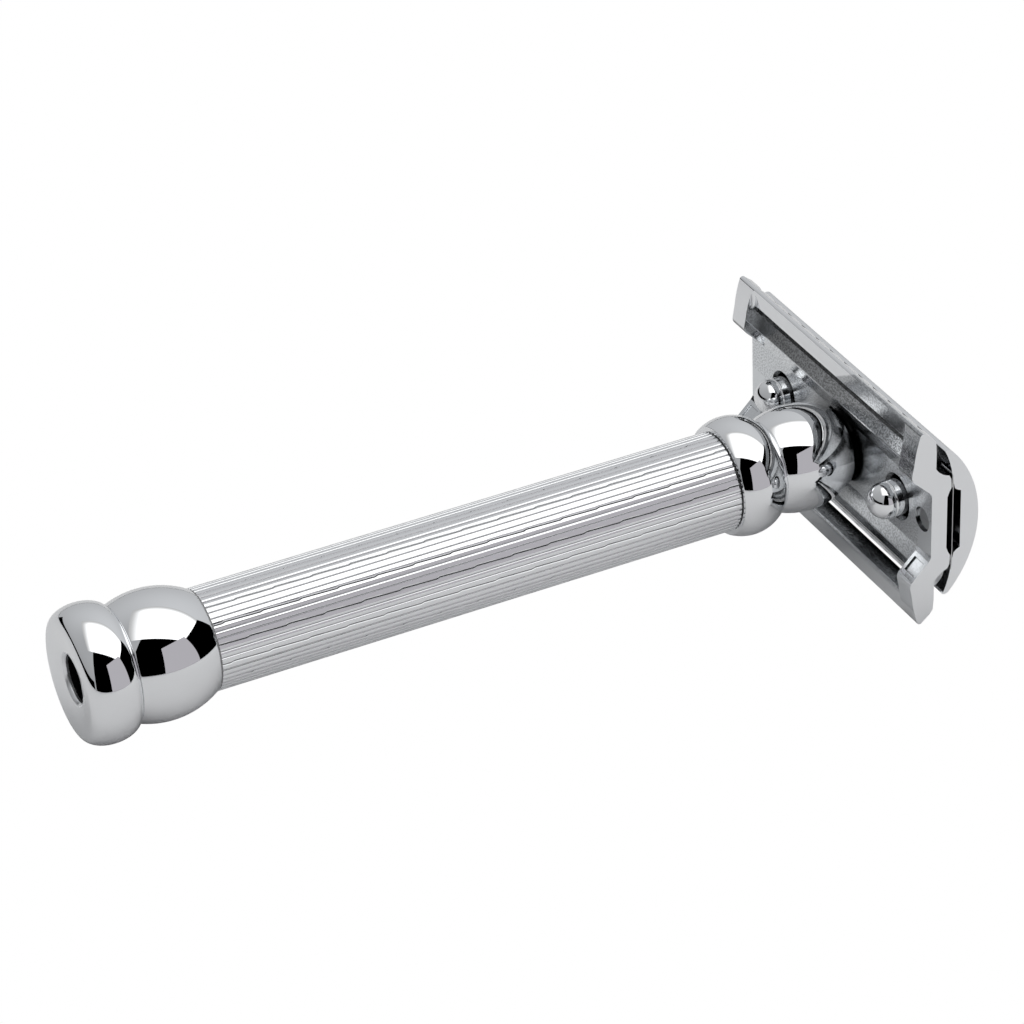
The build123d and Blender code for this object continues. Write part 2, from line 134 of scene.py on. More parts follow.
# ---- studio, metres ----
SOFTBOX_HEIGHT = 0.66
SOFTBOX_NEAR = -0.34
SOFTBOX_FAR = 0.40
SOFTBOX_LEFT = -0.28
SOFTBOX_RIGHT = 0.79
SOFTBOX_FADE = 0.18         # share of its width over which its left and far edges fade
SOFTBOX_LIGHT = 1.45
CARD_DISTANCE = 0.424
CARD_BEARING = math.radians(129)
CARD_WIDTH = 0.351
CARD_HEIGHT = 0.41
CARD_LIFT = 0.006
CARD_LIGHT = (0.47, 0.455, 0.48)
FLOOR_RADIUS = 3.0
FLOOR_ALBEDO = 0.9
BACKDROP_LIGHT = 0.52       # mean light of the backdrop, and how much it changes round the table
BACKDROP_SWING = 0.12
BACKDROP_BRIGHTEST = math.radians(50)
BACKDROP_LOW_SHARE = 0.85   # what is left of that light at the table's far edge
DARK_FROM = math.radians(62)
DARK_TO = math.radians(195)
WALL_FROM = math.radians(200)   # a low dark wall behind the left of the table
WALL_TO = math.radians(318)
WALL_RISE = 0.2


# ---------------------------------------------------------------- outlines
def arc(centre, radii, start, end, steps=CURVE_STEPS):
    """Points on an ellipse between two angles in degrees."""
    points = []
    for i in range(steps + 1):
        angle = math.radians(start + (end - start) * i / steps)
        points.append((centre[0] + radii[0] * math.cos(angle), centre[1] + radii[1] * math.sin(angle)))
    return points


def circle_through(a, b, c):
    """Centre and radius of the circle through three points."""
    ab = (b[0] - a[0], b[1] - a[1])
    ac = (c[0] - a[0], c[1] - a[1])
    cross = 2 * (ab[0] * ac[1] - ab[1] * ac[0])
    ab2 = ab[0] ** 2 + ab[1] ** 2
    ac2 = ac[0] ** 2 + ac[1] ** 2
    centre = (a[0] + (ac[1] * ab2 - ab[1] * ac2) / cross, a[1] + (ab[0] * ac2 - ac[0] * ab2) / cross)
    return centre, math.dist(centre, a)


def bulge(low_z, high_z, ring_r, mid_z, arc_r):
    """A bead's outside: points on the circle centred at (ring_r, mid_z) between two heights."""
    start = math.degrees(math.asin((low_z - mid_z) / arc_r))
    end = math.degrees(math.asin((high_z - mid_z) / arc_r))
    return arc((ring_r, mid_z), (arc_r, arc_r), start, end)


def soften(outline, reach=EDGE_BREAK):
    """The closed outline with its sharp corners replaced by small curves."""
    result = []
    for i, corner in enumerate(outline):
        here = Vector(corner)
        back = Vector(outline[i - 1]) - here
        ahead = Vector(outline[(i + 1) % len(outline)]) - here
        if math.pi - back.angle(ahead) < SOFTEN_ABOVE:
            result.append(corner)
            continue
        cut = min(reach, 0.45 * back.length, 0.45 * ahead.length)
        start = here + back.normalized() * cut
        end = here + ahead.normalized() * cut
        for step in range(CORNER_STEPS + 1):
            t = step / CORNER_STEPS
            result.append(tuple(start * (1 - t) ** 2 + here * 2 * t * (1 - t) + end * t ** 2))
    return result


# ---------------------------------------------------------------- meshes
def make_piece(name, points, faces, material, body, stands_for):
    """A smooth-shaded mesh piece from points in mm that rides on a body and stands for a CAD node."""
    mesh = bpy.data.meshes.new(name)
    mesh.from_pydata([tuple(value * MM for value in point) for point in points], [], faces)
    mesh.validate()
    mesh.shade_smooth()
    mesh.set_sharp_from_angle(angle=SHARP_ABOVE)
    mesh.materials.append(material)
    piece = bpy.data.objects.new(name, mesh)
    bpy.context.scene.collection.objects.link(piece)
    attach(piece, body)
    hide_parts(stands_for)
    return piece


def turn(outline, around=AROUND, centre=(0.0, 0.0), first=0):
    """Points and faces of a closed (radius, z) outline turned round a vertical axis."""
    points = []
    for step in range(around):
        angle = FULL_TURN * step / around
        for radius, z in outline:
            points.append((centre[0] + radius * math.cos(angle), centre[1] + radius * math.sin(angle), z))
    rows = len(outline)
    faces = []
    for step in range(around):
        here = first + step * rows
        there = first + (step + 1) % around * rows
        for row in range(rows):
            after = (row + 1) % rows
            faces.append((here + row, there + row, there + after, here + after))
    return points, faces


def turned_piece(name, outline, material, body="handle"):
    points, faces = turn(soften(outline))
    return make_piece(name + "_shell", points, faces, material, body, name)


def mm_box(node):
    low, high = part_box(node)
    return low / MM, high / MM


# ---------------------------------------------------------------- node helpers
def add_node(tree, kind, inputs=None, **settings):
    """A new node; an input is a value to set or another node's output to join."""
    node = tree.nodes.new(kind)
    for key, value in settings.items():
        setattr(node, key, value)
    for key, value in (inputs or {}).items():
        if isinstance(value, bpy.types.NodeSocket):
            tree.links.new(value, node.inputs[key])
        else:
            node.inputs[key].default_value = value
    return node


def calc(tree, operation, *values):
    inputs = dict(enumerate(values))
    return add_node(tree, "ShaderNodeMath", inputs, operation=operation).outputs[0]


def ramp(tree, value, low, high, to_low=0.0, to_high=1.0, smooth=True):
    """value mapped from low..high to to_low..to_high, and held outside."""
    inputs = {"Value": value, "From Min": low, "From Max": high, "To Min": to_low, "To Max": to_high}
    kind = "SMOOTHSTEP" if smooth else "LINEAR"
    return add_node(tree, "ShaderNodeMapRange", inputs, interpolation_type=kind).outputs[0]


def blend_colour(tree, factor, first, second):
    inputs = {"Factor": factor, "A": first, "B": second}
    node = tree.nodes.new("ShaderNodeMix")
    node.data_type = "RGBA"
    sockets = {"Factor": node.inputs[0], "A": node.inputs[6], "B": node.inputs[7]}
    for key, value in inputs.items():
        if isinstance(value, bpy.types.NodeSocket):
            tree.links.new(value, sockets[key])
        else:
            sockets[key].default_value = value
    return node.outputs[2]


def blend_value(tree, factor, first, second):
    return add_node(tree, "ShaderNodeMix", {0: factor, 2: first, 3: second}).outputs[0]


def under(tree, value, limit):
    return calc(tree, "LESS_THAN", value, limit)


def over(tree, value, limit):
    return calc(tree, "GREATER_THAN", value, limit)


def all_of(tree, first, *others):
    """1 where every mask is 1."""
    product = first
    for mask in others:
        product = calc(tree, "MULTIPLY", product, mask)
    return product


def off_axis(tree, place, x=0.0):
    """Distance from the upright line through (x, 0)."""
    flat = add_node(tree, "ShaderNodeVectorMath", {0: place, 1: (1.0, 1.0, 0.0)}, operation="MULTIPLY").outputs[0]
    return add_node(tree, "ShaderNodeVectorMath", {0: flat, 1: (x, 0.0, 0.0)}, operation="DISTANCE").outputs["Value"]


def grey(level, tint=(1.0, 1.0, 1.0)):
    return (level * tint[0], level * tint[1], level * tint[2], 1.0)


def object_place(tree):
    return add_node(tree, "ShaderNodeTexCoord").outputs["Object"]


def noise(tree, place, per_metre, detail=2.0, stretch=(1.0, 1.0, 1.0), rough=0.5):
    scaled = add_node(tree, "ShaderNodeVectorMath", {0: place, 1: stretch}, operation="MULTIPLY").outputs[0]
    inputs = {"Vector": scaled, "Scale": per_metre, "Detail": detail, "Roughness": rough}
    return add_node(tree, "ShaderNodeTexNoise", inputs).outputs["Fac"]


def bump(tree, height, distance, strength=1.0, normal=None):
    inputs = {"Height": height, "Distance": distance, "Strength": strength}
    if normal is not None:
        inputs["Normal"] = normal
    return add_node(tree, "ShaderNodeBump", inputs).outputs[0]


def surface(name, build):
    """A material whose Principled inputs come from build(tree)."""
    material = bpy.data.materials.new(name)
    material.use_nodes = True
    tree = material.node_tree
    tree.nodes.clear()
    shader = add_node(tree, "ShaderNodeBsdfPrincipled", build(tree))
    output = add_node(tree, "ShaderNodeOutputMaterial")
    tree.links.new(shader.outputs[0], output.inputs["Surface"])
    return material


# ---------------------------------------------------------------- materials
CHROME = (0.90, 0.91, 0.925)
CREASE_REACH = 0.0009       # metres, how near a neighbouring surface has to be for painted shade in a crease
HOLLOW_REACH = 0.004        # the same for the broad hollows of the baseplate
# darkest level of the painted shade in creases and hollows
CREASE_LIGHT = 0.08
HOLLOW_LIGHT = 0.35
CREASE_OPEN = 0.55          # share of open sky above which a spot is no crease
HOLLOW_OPEN = 0.85
GRAIN_PER_METRE = 4500
GRAIN_HEIGHT = 9e-6
BAR_INNER_Y = 0.0098        # metres, as the places below: the bars start here
SLOT_END_X = 0.0183
# where the sunk dimple on the plate gets painted shade
DIMPLE_X = 0.0192
DIMPLE_R = 0.00155
SEAT_GAP_R = 0.0044         # the plate gets painted shadow of the gap over the neck within this


def painted_crease_shade(tree, tint, reach=CREASE_REACH, darkest=CREASE_LIGHT, open_from=CREASE_OPEN):
    """The tint darkened with painted shade where two surfaces meet closely."""
    open_share = add_node(tree, "ShaderNodeAmbientOcclusion", {"Distance": reach}, samples=8).outputs["AO"]
    level = ramp(tree, open_share, open_from - 0.45, open_from, darkest, 1.0)
    shade = add_node(tree, "ShaderNodeCombineColor", {0: level, 1: level, 2: level}).outputs[0]
    return add_node(tree, "ShaderNodeVectorMath", {0: tint, 1: shade}, operation="MULTIPLY").outputs[0]


def polished(tree, place):
    """Tint and roughness of polished chrome: faint cloudiness and hairline scratches."""
    cloud = noise(tree, place, 120, detail=3)
    tint = blend_colour(tree, cloud, grey(0.97, CHROME), grey(1.0, CHROME))
    scratches = noise(tree, place, 2500, stretch=(1.0, 1.0, 0.05), detail=1)
    roughness = ramp(tree, scratches, 0.55, 0.85, 0.018, 0.05)
    return tint, roughness


def chrome():
    def build(tree):
        place = object_place(tree)
        tint, roughness = polished(tree, place)
        swell = noise(tree, place, 260, detail=1)
        normal = bump(tree, swell, 1.2e-6)
        height = add_node(tree, "ShaderNodeSeparateXYZ", {0: place}).outputs["Z"]
        # painted crease shade fades in on the chrome under the head
        painted_shade_under_head = ramp(tree, height, 0.0965, 0.0985)
        tint = blend_colour(tree, painted_shade_under_head, tint, painted_crease_shade(tree, tint))
        # painted shadow in the gap between the neck's top and the plate
        painted_gap_shadow = all_of(tree, over(tree, height, 0.09943), under(tree, off_axis(tree, place), 0.0047))
        tint = blend_colour(tree, all_of(tree, painted_gap_shadow, under(tree, height, 0.1001)), tint, grey(0.03))
        bored = all_of(tree, under(tree, off_axis(tree, place), 0.00322), under(tree, height, 0.0036))
        # painted shade inside the pommel's hole, deeper than its mouth
        painted_bore_shade = all_of(tree, bored, over(tree, height, 0.00115))
        tint = blend_colour(tree, painted_bore_shade, tint, grey(0.035))
        roughness = blend_value(tree, bored, roughness, 0.3)
        return {"Base Color": tint, "Metallic": 1.0, "Roughness": roughness, "Normal": normal}
    return surface("polished_chrome", build)


def lined_chrome(radius):
    """Drawn chrome that is rougher in its lines, with painted shade darkening their sides and bottoms; the radius is
    the sleeve's, in metres.
    """
    def build(tree):
        place = object_place(tree)
        tint, _ = polished(tree, place)
        flat = add_node(tree, "ShaderNodeVectorMath", {0: place, 1: (1.0, 1.0, 0.0)}, operation="MULTIPLY").outputs[0]
        out = add_node(tree, "ShaderNodeVectorMath", {0: flat}, operation="LENGTH").outputs["Value"]
        sunk = calc(tree, "SUBTRACT", radius, out)
        # painted shade on the sides and in the bottoms of the lines
        painted_flank_shade = ramp(tree, sunk, LAND_CROWN * MM, LINE_DEPTH * MM, 1.0, 0.7)
        painted_groove_shade = ramp(tree, sunk, 0.8 * LINE_DEPTH * MM, 1.2 * LINE_DEPTH * MM, 1.0, 0.06)
        level = calc(tree, "MULTIPLY", painted_flank_shade, painted_groove_shade)
        shade = add_node(tree, "ShaderNodeCombineColor", {0: level, 1: level, 2: level}).outputs[0]
        tint = add_node(tree, "ShaderNodeVectorMath", {0: tint, 1: shade}, operation="MULTIPLY").outputs[0]
        drawn = noise(tree, place, 9000, stretch=(1.0, 1.0, 0.02), detail=2)
        roughness = ramp(tree, drawn, 0.3, 0.8, 0.05, 0.11)
        roughness = blend_value(tree, over(tree, sunk, LAND_CROWN * MM), roughness, 0.42)
        return {"Base Color": tint, "Metallic": 1.0, "Roughness": roughness,
                "Normal": bump(tree, drawn, 0.15e-6)}
    return surface("lined_chrome", build)


def band(tree, value, low, high, edge):
    """1 between low and high, with soft sides."""
    rising = ramp(tree, value, low - edge, low)
    falling = ramp(tree, value, high + edge, high)
    return calc(tree, "MULTIPLY", rising, falling)


def buffed(tree, spot, facing, across, end_face):
    """1 where the wheel has reached: the ends, the bars' outsides and most of the near bar's lower face."""
    missed = ramp(tree, spot["X"], 0.0005, 0.006, 0.0102, 0.0134, smooth=False)
    missed = blend_value(tree, over(tree, spot["X"], -SLOT_END_X - 0.0001), 0.0076, missed)
    buffed_from = blend_value(tree, over(tree, spot["Y"], 0.0), missed, 0.0112)
    lower_face = ramp(tree, calc(tree, "SUBTRACT", across, buffed_from), -0.0002, 0.0002)
    upper_face = all_of(tree, over(tree, facing["Z"], 0.0), over(tree, across, BAR_INNER_Y))
    return calc(tree, "MAXIMUM", calc(tree, "MAXIMUM", lower_face, upper_face), end_face)


def cast_chrome():
    """Chrome over a casting: buffed on the outside, grainy where a wheel can't reach, with painted shade in its
    pockets, webs, dimple, hollows and creases, beside the neck and over the neck's gap.
    """
    def build(tree):
        place = object_place(tree)
        tint, mirror_roughness = polished(tree, place)
        spot = add_node(tree, "ShaderNodeSeparateXYZ", {0: place}).outputs
        outward = add_node(tree, "ShaderNodeTexCoord").outputs["Normal"]
        facing = add_node(tree, "ShaderNodeSeparateXYZ", {0: outward}).outputs
        along = calc(tree, "ABSOLUTE", spot["X"])
        across = calc(tree, "ABSOLUTE", spot["Y"])
        endwise = calc(tree, "ABSOLUTE", facing["X"])
        near_side = under(tree, spot["Y"], 0.0)
        shine = buffed(tree, spot, facing, across, ramp(tree, endwise, 0.9, 0.99))
        dull = calc(tree, "SUBTRACT", 1.0, shine)
        blotch = noise(tree, place, 2600, detail=3)
        grain = noise(tree, place, GRAIN_PER_METRE, detail=3, rough=0.6)
        satin_roughness = ramp(tree, blotch, 0.3, 0.7, 0.12, 0.19)
        roughness = blend_value(tree, shine, satin_roughness, mirror_roughness)
        far_web = all_of(tree, over(tree, spot["Y"], 0.0), over(tree, along, SLOT_END_X),
                         under(tree, facing["Z"], -0.1))
        relief = calc(tree, "MULTIPLY", grain, dull)
        normal = bump(tree, calc(tree, "MULTIPLY", relief, blend_value(tree, far_web, 1.0, 0.3)), GRAIN_HEIGHT)

        # painted shade in the slot pockets, on the inner ends and on the near webs wherever they are not buffed
        pocket = all_of(tree, band(tree, across, 0.0067, 0.0106, 0.0002), ramp(tree, spot["Z"], 0.0982, 0.0985))
        inner_end = all_of(tree, ramp(tree, endwise, 0.4, 0.7), under(tree, along, 0.0195))
        near_web = all_of(tree, near_side, over(tree, along, SLOT_END_X), band(tree, across, 0.0048, 0.0104, 0.0002),
                          under(tree, facing["Z"], -0.1))
        painted_recess_shade = all_of(tree, calc(tree, "MAXIMUM", calc(tree, "MAXIMUM", pocket, inner_end), near_web), dull)
        # the near side's painted shade deepens toward -X, and more on the inner ends at -X
        darkest = blend_value(tree, near_side, 1.0, ramp(tree, spot["X"], -0.018, 0.014, 0.3, 1.0, smooth=False))
        darkest = calc(tree, "MULTIPLY", darkest,
                       blend_value(tree, all_of(tree, inner_end, under(tree, spot["X"], 0.0)), 1.0, 0.35))
        speckle = ramp(tree, grain, 0.4, 0.58)
        painted_recess_level = calc(tree, "MULTIPLY", ramp(tree, speckle, 0.0, 1.0, 0.24, 0.56), darkest)
        cast_level = ramp(tree, speckle, 0.0, 1.0, 0.6, 0.92)
        # painted shade on the near side's plate, darker toward the neck
        painted_shade_beside_neck = blend_value(tree, near_side, 1.0, ramp(tree, off_axis(tree, place), 0.005, 0.0105, 0.5, 1.0))
        cast_level = calc(tree, "MULTIPLY", cast_level, painted_shade_beside_neck)
        # painted shade on a patch of the near bar at +X
        painted_patch_shade = all_of(tree, near_side, over(tree, spot["X"], 0.0), over(tree, across, 0.0101))
        cast_level = calc(tree, "MULTIPLY", cast_level, blend_value(tree, painted_patch_shade, 1.0, 0.65))
        cast_level = blend_value(tree, far_web, cast_level, 0.84)
        # painted shade in the sunk dimple
        painted_dimple_shade = under(tree, off_axis(tree, place, DIMPLE_X), DIMPLE_R)
        cast_level = blend_value(tree, painted_dimple_shade, cast_level, 0.42)
        # painted shadow on the plate round the gap over the neck
        painted_gap_shadow = under(tree, off_axis(tree, place), SEAT_GAP_R)
        level = blend_value(tree, painted_gap_shadow, blend_value(tree, painted_recess_shade, cast_level, painted_recess_level), 0.03)
        shade = add_node(tree, "ShaderNodeCombineColor", {0: level, 1: level, 2: level}).outputs[0]
        cast = add_node(tree, "ShaderNodeVectorMath", {0: (0.92, 0.945, 0.97), 1: shade},
                        operation="MULTIPLY").outputs[0]
        # painted shade in the plate's broad hollows, then in its creases
        shaded = painted_crease_shade(tree, cast, HOLLOW_REACH, HOLLOW_LIGHT, HOLLOW_OPEN)
        return {"Base Color": painted_crease_shade(tree, blend_colour(tree, shine, shaded, tint)), "Metallic": 1.0,
                "Roughness": roughness, "Normal": normal}
    return surface("cast_chrome", build)


def turned_metal(name, dark, light, roughness):
    """Machined bar stock with fine turning rings along its axis."""
    def build(tree):
        place = object_place(tree)
        rings = noise(tree, place, 9000, stretch=(0.03, 0.03, 1.0), detail=2)
        tint = blend_colour(tree, rings, (*dark, 1.0), (*light, 1.0))
        normal = bump(tree, rings, 2e-6)
        return {"Base Color": tint, "Metallic": 1.0, "Roughness": roughness, "Normal": normal}
    return surface(name, build)


def blade_steel():
    def build(tree):
        place = object_place(tree)
        spread = add_node(tree, "ShaderNodeSeparateXYZ", {0: place})
        across = calc(tree, "ABSOLUTE", spread.outputs["Y"])
        ground = ramp(tree, across, 0.0096, 0.0099)
        grind = noise(tree, place, 12000, stretch=(0.02, 1.0, 1.0), detail=2)
        body = blend_colour(tree, grind, grey(0.50), grey(0.62))
        edge = blend_colour(tree, grind, grey(0.72), grey(0.86))
        tint = blend_colour(tree, ground, body, edge)
        normal = bump(tree, grind, 1e-6)
        return {"Base Color": tint, "Metallic": 1.0, "Roughness": 0.24, "Normal": normal}
    return surface("blade_steel", build)


def rubber():
    def build(tree):
        place = object_place(tree)
        grain = noise(tree, place, 8000, detail=3)
        black = blend_colour(tree, grain, grey(0.05), grey(0.09))
        pale = blend_colour(tree, grain, grey(0.4), grey(0.5))
        height = add_node(tree, "ShaderNodeSeparateXYZ", {0: place}).outputs["Z"]
        tint = blend_colour(tree, over(tree, height, 0.05), pale, black)
        return {"Base Color": tint, "Roughness": 0.7, "Normal": bump(tree, grain, 8e-6)}
    return surface("seal_rubber", build)


# ---------------------------------------------------------------- handle pieces
def pommel_knob(material):
    low, high = mm_box("pommel_knob")
    top, radius = high.z, high.x
    middle = (low.z + top) / 2
    bore_low = FACE_DISH + HOLE_CHAMFER
    outline = [
        (HOLE_R, top - SPIGOT_LENGTH),
        (HOLE_R, bore_low),
        (HOLE_RIM_R, FACE_DISH),
        (FACE_LAND_R, low.z),
        *arc((KNOB_RIM_R, middle), (radius - KNOB_RIM_R, middle - low.z), -90, 90),
        (SPIGOT_R, top),
        (SPIGOT_R, top - SPIGOT_LENGTH),
    ]
    return turned_piece("pommel_knob", outline, material)


def pommel_ball(material):
    _, high = mm_box("pommel_ball")
    knob_top = mm_box("pommel_knob")[1].z
    sleeve_low = mm_box("seal_rings")[0].z
    radius = high.x
    centre, arc_r = circle_through((BALL_BASE_R, knob_top), (radius, BALL_MID_Z), (BALL_TOP_R, sleeve_low))
    outside = bulge(knob_top, sleeve_low, centre[0], centre[1], arc_r)
    inner = mm_box("tie_bolt")[1].x + 0.02
    shoulder = mm_box("lock_washer")[1].z
    outline = [
        (BALL_BORE_R, knob_top - SPIGOT_LENGTH),
        (SPIGOT_R, knob_top - SPIGOT_LENGTH),
        (SPIGOT_R, knob_top),
        *outside,
        (INNER_R + 1.5, sleeve_low),
        (INNER_R, sleeve_low),
        (INNER_R, shoulder),
        (max(inner, BALL_BORE_R), shoulder),
    ]
    return turned_piece("pommel_ball", outline, material)


def neck_collar(material):
    low_z = mm_box("seal_rings")[1].z
    high_z = mm_box("neck_collar")[1].z
    outline = [(INNER_R, low_z), *bulge(low_z, high_z, COLLAR_RING_R, COLLAR_MID_Z, COLLAR_ARC_R),
               (BUSH_R, high_z), (BUSH_R, mm_box("thread_bush")[0].z), (INNER_R, mm_box("thread_bush")[0].z)]
    return turned_piece("neck_collar", outline, material)


def neck_ball(material):
    low, high = mm_box("neck_ball")
    shoulder = high.z - 0.55
    outline = [(BUSH_R, low.z), *bulge(low.z, shoulder, NECK_RING_R, NECK_MID_Z, NECK_ARC_R),
               (NECK_SEAT_R, shoulder), (NECK_SEAT_R, high.z), (BUSH_R, high.z)]
    return turned_piece("neck_ball", outline, material)


def wave(z, shift):
    """Sideways shift in mm of a wavy line at height z: a slow drift and a quick jog back."""
    phase = (z / WAVE_PERIOD + WAVE_START + shift) % 1.0
    if phase < WAVE_JOG:
        return WAVE_SIZE * (0.5 - phase / WAVE_JOG)
    return WAVE_SIZE * ((phase - WAVE_JOG) / (1 - WAVE_JOG) - 0.5)


def grip_heights(low, high):
    """Heights of the sleeve's rows of points: its ends and every corner of a wavy line between them."""
    heights = {low, high}
    for wave_index in range(math.floor(low / WAVE_PERIOD), math.ceil(high / WAVE_PERIOD) + 1):
        for shift in (0.0, 0.5):
            for corner in (0.0, WAVE_JOG / 2, WAVE_JOG, (1 + WAVE_JOG) / 2):
                z = (wave_index + corner - WAVE_START - shift) * WAVE_PERIOD
                if low < z < high:
                    heights.add(z)
    return sorted(heights)


def grip_tube(material):
    """Sleeve with V lines; every third line wanders sideways in small repeated jogs."""
    low, high = mm_box("grip_tube")
    radius = high.x
    pitch = FULL_TURN * radius / LINE_COUNT
    land = pitch - LINE_WIDTH
    columns = [(-LINE_WIDTH / 2, 0.0), (0.0, -LINE_DEPTH), (LINE_WIDTH / 2, 0.0)]
    for share in (0.2, 0.4, 0.6, 0.8):
        crown = LAND_CROWN * (1 - (2 * share - 1) ** 2)
        columns.append((LINE_WIDTH / 2 + land * share, crown))
    heights = grip_heights(low.z, high.z)
    row_count = len(heights) - 1
    per_row = LINE_COUNT * len(columns)
    points = []
    for z in heights:
        for line in range(LINE_COUNT):
            for offset, rise in columns:
                shift = 0.0
                if line % WAVY_EVERY == 0 and rise <= 0:
                    shift = wave(z, 0.5 * (line // WAVY_EVERY % 2))
                    rise *= (LINE_DEPTH + WAVY_EXTRA_DEPTH) / LINE_DEPTH
                angle = LINE_PHASE + (line * pitch + offset + shift) / radius
                points.append(((radius + rise) * math.cos(angle), (radius + rise) * math.sin(angle), z))
    faces = []
    for row in range(row_count):
        for column in range(per_row):
            a = row * per_row + column
            b = row * per_row + (column + 1) % per_row
            faces.append((a, b, b + per_row, a + per_row))
    inner_first = len(points)
    for z in (low.z, high.z):
        for column in range(per_row):
            angle = LINE_PHASE + FULL_TURN * column / per_row
            points.append((SLEEVE_BORE_R * math.cos(angle), SLEEVE_BORE_R * math.sin(angle), z))
    top_row = row_count * per_row
    for column in range(per_row):
        after = (column + 1) % per_row
        faces.append((inner_first + column, inner_first + after, after, column))
        faces.append((top_row + column, top_row + after, inner_first + per_row + after, inner_first + per_row + column))
        faces.append((inner_first + per_row + column, inner_first + per_row + after, inner_first + after, inner_first + column))
    return make_piece("grip_sleeve", points, faces, material, "handle", "grip_tube")


# ---------------------------------------------------------------- head pieces
def studs(material):
    low, high = mm_box("locating_studs")
    radius = STUD_DOME_Z - low.z
    outline = [
        (0.001, low.z),
        *arc((0, STUD_DOME_Z), (radius, radius), -89.9, 0, steps=24),
        (radius, STUD_GROOVE_Z - STUD_GROOVE),
        (radius - STUD_GROOVE, STUD_GROOVE_Z),
        (radius, STUD_GROOVE_Z + STUD_GROOVE),
        (radius, high.z),
        (0.001, high.z),
    ]
    points, faces = [], []
    for x in (-STUD_X, STUD_X):
        more_points, more_faces = turn(soften(outline, 0.05), around=96, centre=(x, 0.0), first=len(points))
        points += more_points
        faces += more_faces
    return make_piece("locating_studs_shell", points, faces, material, "cap", "locating_studs")


def cap_screw(material):
    """Cap screw with a cut thread up to its head."""
    low, high = mm_box("cap_screw")
    head_low = high.z - SCREW_HEAD_H
    outer = 2.45
    row_step = THREAD_PITCH / THREAD_ROWS
    row_count = round((head_low - low.z) / row_step)
    points = []
    for row in range(row_count + 1):
        z = low.z + (head_low - low.z) * row / row_count
        run_out = min(1.0, (z - low.z) / THREAD_PITCH * 0.5 + 0.5)
        for step in range(THREAD_AROUND):
            turn_share = step / THREAD_AROUND
            phase = (z / THREAD_PITCH - turn_share) % 1.0
            depth = THREAD_DEPTH * min(1.0, 1.25 * abs(2 * phase - 1))
            radius = (outer - depth) * run_out + (outer - THREAD_DEPTH - 0.1) * (1 - run_out)
            angle = FULL_TURN * turn_share
            points.append((radius * math.cos(angle), radius * math.sin(angle), z))
    for radius, z in ((SCREW_HEAD_R, head_low), (SCREW_HEAD_R, high.z)):
        for step in range(THREAD_AROUND):
            angle = FULL_TURN * step / THREAD_AROUND
            points.append((radius * math.cos(angle), radius * math.sin(angle), z))
    rows = row_count + 3
    faces = []
    for row in range(rows - 1):
        for step in range(THREAD_AROUND):
            a = row * THREAD_AROUND + step
            b = row * THREAD_AROUND + (step + 1) % THREAD_AROUND
            faces.append((a, b, b + THREAD_AROUND, a + THREAD_AROUND))
    faces.append(tuple(reversed(range(THREAD_AROUND))))
    faces.append(tuple(range((rows - 1) * THREAD_AROUND, rows * THREAD_AROUND)))
    return make_piece("cap_screw_thread", points, faces, material, "cap", "cap_screw")


def round_edges(node):
    """Fine rounding that polishing leaves on a casting's edges."""
    bevel = node.modifiers.new("rounded_edges", "BEVEL")
    bevel.width = EDGE_BREAK * MM
    bevel.segments = 2
    bevel.limit_method = "ANGLE"
    bevel.angle_limit = SHARP_ABOVE
    bevel.harden_normals = True


# ---------------------------------------------------------------- studio
def view_axes():
    """The camera's right, up and back directions."""
    level = math.cos(VIEW_ELEVATION)
    back = Vector((math.sin(VIEW_AZIMUTH) * level, -math.cos(VIEW_AZIMUTH) * level, math.sin(VIEW_ELEVATION)))
    level_right = (-back).cross(Vector((0, 0, 1))).normalized()
    level_up = level_right.cross(-back)
    right = level_right * math.cos(VIEW_ROLL) + level_up * math.sin(VIEW_ROLL)
    up = level_up * math.cos(VIEW_ROLL) - level_right * math.sin(VIEW_ROLL)
    return right, up, back


def place_camera(low, high):
    right, up, back = view_axes()
    centre = (low + high) / 2
    data = bpy.data.cameras.new("camera")
    data.lens = LENS
    data.sensor_width = SENSOR
    data.clip_start = 0.01
    data.clip_end = 20.0
    camera = bpy.data.objects.new("camera", data)
    bpy.context.scene.collection.objects.link(camera)
    camera.matrix_world = Matrix.Translation(
        centre + back * VIEW_DISTANCE + right * VIEW_RIGHT + up * VIEW_UP
    ) @ Matrix((right, up, back)).transposed().to_4x4()
    bpy.context.scene.camera = camera


def table_axes():
    """Origin under the pommel on the table, with the table's forward, right and up directions."""
    knob_low, knob_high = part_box("pommel_knob")
    plate_low, plate_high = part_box("baseplate")
    knob_z = (knob_low.z + knob_high.z) / 2
    bar_z = plate_low.z + 0.0014
    slope = Vector((0, plate_high.y - knob_high.y, bar_z - knob_z)).normalized()
    up = Vector((1, 0, 0)).cross(slope).normalized()
    if up.y > 0:
        up = -up
    origin = Vector((0, knob_high.y, knob_z))
    look = -view_axes()[2]
    forward = (look - up * look.dot(up)).normalized()
    return origin, forward, forward.cross(up), up


def stage_plane(name, centre, across, along, width, length, material):
    """A flat rectangle or floor that only stages the object."""
    corners = []
    for a, b in ((-1, -1), (1, -1), (1, 1), (-1, 1)):
        corners.append(centre + across * (a * width / 2) + along * (b * length / 2))
    mesh = bpy.data.meshes.new(name)
    mesh.from_pydata(corners, [], [(0, 1, 2, 3)])
    layer = mesh.uv_layers.new(name="plane")
    for index, uv in enumerate(((0, 0), (1, 0), (1, 1), (0, 1))):
        layer.data[index].uv = uv
    mesh.materials.append(material)
    plane = bpy.data.objects.new(name, mesh)
    bpy.context.scene.collection.objects.link(plane)
    return plane


